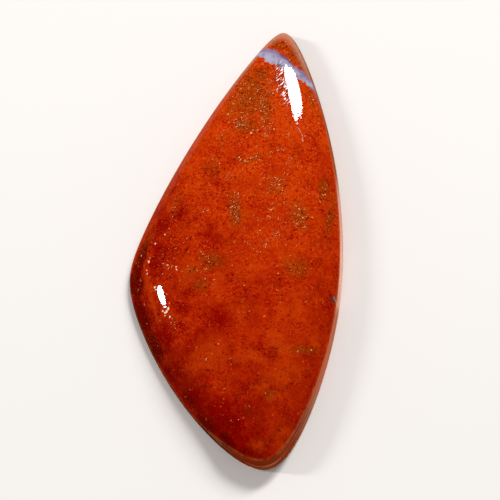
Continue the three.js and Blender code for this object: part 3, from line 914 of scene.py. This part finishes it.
# %% [markdown]
# ## The floor
#
# The stone lies on its flat back on plain pale paper. The polish mirrors what is beside it, and
# the real stone mirrors darker, warmer surroundings at its left edge and a bright strip at its
# right. A photographer would stand cards around it, but cards would cast shadows here. So the
# paper shows its own pale tone to the camera and to soft light, and warm tones to mirrored rays
# only. They lie around the stone and change along it.

# %% Floor
FLOOR_HALF = 1.5
floor_mesh = bpy.data.meshes.new("floor")
floor_corners = [(FLOOR_HALF * x, FLOOR_HALF * y, 0) for x, y in ((-1, -1), (1, -1), (1, 1), (-1, 1))]
floor_mesh.from_pydata(floor_corners, [], [(0, 1, 2, 3)])
floor = new_object("floor", floor_mesh)
print("floor corners, m:", floor_corners)

# %% Paper, and the tones that the polish mirrors
pale_paper = bpy.data.materials.new("pale_paper")
add = partial(add_node, empty_nodes(pale_paper))
floor_place = add("TexCoord")["Object"]
floor_mm = add("VectorMath", [floor_place, TO_MM], operation="MULTIPLY")[0]
# The stone is about twice as long as it is wide, and so is the ring of warm tones around it.
stone_scaled = add("VectorMath", [floor_mm, (1, 0.5, 1)], operation="MULTIPLY")[0]
from_stone = add("VectorMath", [stone_scaled], operation="LENGTH")["Value"]
fades = add("MapRange", {
    "Value": from_stone, "From Min": 9.5, "From Max": 15.0}, interpolation_type="SMOOTHSTEP")[0]
floor_xyz = add("SeparateXYZ", [floor_mm])
along_stone = add("MapRange", {"Value": floor_xyz["Y"], "From Min": -22.0, "From Max": 22.0})[0]
LEFT_TONES = [(0.0, "#5a3420"), (0.10, "#2c160c"), (0.20, "#160a05"), (0.45, "#20100a"),
              (0.56, "#5e4024"), (0.72, "#8c745c"), (1.0, "#a08c78")]
RIGHT_TONES = [(0.0, "#8a5a42"), (0.12, "#c09070"), (0.34, "#d8a888"), (0.375, "#ffeede"),
               (0.61, "#ffeede"), (0.67, "#7a5c44"), (1.0, "#8c7458")]
mirrored_left = add("ValToRGB", [along_stone])[0]
mirrored_right = add("ValToRGB", [along_stone])[0]
print("mirrored tones:", set_tones(mirrored_left, LEFT_TONES), set_tones(mirrored_right, RIGHT_TONES))
rightwards = add("MapRange", {
    "Value": floor_xyz["X"], "From Min": 5.0, "From Max": 8.0}, interpolation_type="SMOOTHSTEP")[0]
mirrored_near = add("Mix", {0: rightwards, 6: mirrored_left, 7: mirrored_right}, data_type="RGBA")[2]
mirrored_colour = add("Mix", {0: fades, 6: mirrored_near, 7: linear("#1c0e08")}, data_type="RGBA")[2]
mirrored_ray = add("LightPath")["Is Glossy Ray"]
paper_colour = add("Mix", {0: mirrored_ray, 6: linear("#ece9e6"), 7: mirrored_colour}, data_type="RGBA")[2]
paper_surface = add("BsdfPrincipled", {
    "Base Color": paper_colour, "Roughness": 0.9, "Specular IOR Level": 0.0})[0]
add("OutputMaterial", {"Surface": paper_surface})
floor_mesh.materials.append(pale_paper)

# %% [markdown]
# ## The room's light
#
# Soft light comes from all around, so the shadow on the paper is faint. A plain pale world is
# the simplest way to make it. Mirrored in the polish, it would lay a white veil over the whole
# dome, and the real stone shows none. So the world lights the stone but isn't mirrored.

# %% Light from the room
world = bpy.data.worlds.new("studio")
bpy.context.scene.world = world
room = empty_nodes(world)
background = add_node(room, "Background", {"Color": linear("#f4f1ee"), "Strength": 0.40})[0]
add_node(room, "OutputWorld", {"Surface": background})
world.cycles_visibility.glossy = False
print("room light strength:", round(background.node.inputs["Strength"].default_value, 2))

# %% [markdown]
# ## The lamps
#
# Two highlights show on the polish: a long one at the upper right and a short one on the left
# shoulder. Each is the mirror image of a lamp. Its place gives the lamp's direction, and its
# length and width give the lamp's size. The ends are rounded, so the area lamps are ellipses
# and not rectangles. The long highlight bends and narrows, which two overlapping lamps give.

# %% Lamps
# Each lamp: azimuth and elevation of its direction, distance, width and height in metres, roll,
# and watts.
LAMPS = {
    "right_strip_light": (57.5, 44.5, 0.60, 0.276, 0.092, 54.0, 2.05),
    "right_strip_end": (65.7, 50.1, 0.60, 0.142, 0.084, 78.2, 0.95),
    "left_strip_light": (168.9, 35.1, 0.60, 0.053, 0.150, 14.9, 1.2),
}


def placed(x_axis, y_axis, z_axis, spot):
    turned = Matrix((x_axis, y_axis, z_axis)).transposed().to_4x4()
    return Matrix.Translation(spot) @ turned


for name, (azimuth, elevation, distance, width, tall, roll, watts) in LAMPS.items():
    turn, rise = math.radians(azimuth), math.radians(elevation)
    towards = Vector((math.cos(rise) * math.cos(turn), math.cos(rise) * math.sin(turn), math.sin(rise)))
    sideways = Vector((-math.sin(turn), math.cos(turn), 0))
    upwards = towards.cross(sideways)
    rolled = math.radians(roll)
    lamp_x = sideways * math.cos(rolled) + upwards * math.sin(rolled)
    lamp_y = towards.cross(lamp_x)
    light = bpy.data.lights.new(name, "AREA")
    light.shape = "ELLIPSE"
    light.size = width
    light.size_y = tall
    light.energy = watts
    new_object(name, light).matrix_world = placed(lamp_x, lamp_y, towards, towards * distance)
print("lamps:", list(LAMPS))

# %% [markdown]
# ## The camera
#
# The camera looks down on the dome. More of the wall shows at the lower right than elsewhere,
# which gives the tilt and its direction. It is 300 mm away with a long lens, as for a close
# picture of a gem, so the tall middle isn't swollen by perspective. The view transform is the
# plain one, so that the hex colours come out as they were chosen.

# %% Camera
CAMERA_TILT = 16.5
CAMERA_SIDE = Vector((0.40, -0.92, 0)).normalized()
CAMERA_DISTANCE = 0.300
LENS_MM = 225.07
AIM_HEIGHT = 2.5
# The stone isn't quite in the middle of the picture: how far it is off, in metres.
OFF_RIGHT, OFF_UP = 0.001219, 0.000058
tilt = math.radians(CAMERA_TILT)
view_axis = CAMERA_SIDE * math.sin(tilt) + Vector((0, 0, math.cos(tilt)))
camera_x = Vector((0, 1, 0)).cross(view_axis).normalized()
camera_y = view_axis.cross(camera_x)
aim = Vector((-centre_x, -centre_y, AIM_HEIGHT)) / MM_PER_METRE
aim += camera_x * OFF_RIGHT + camera_y * OFF_UP
spot = aim + view_axis * CAMERA_DISTANCE
camera_data = bpy.data.cameras.new("camera")
camera_data.lens = LENS_MM
camera_data.sensor_width = 36
camera_data.clip_start = 0.01
camera = new_object("camera", camera_data)
camera.matrix_world = placed(camera_x, camera_y, view_axis, spot)
bpy.context.scene.camera = camera
bpy.context.scene.view_settings.view_transform = "Standard"
print("camera at, mm:", [round(MM_PER_METRE * v, 1) for v in spot])
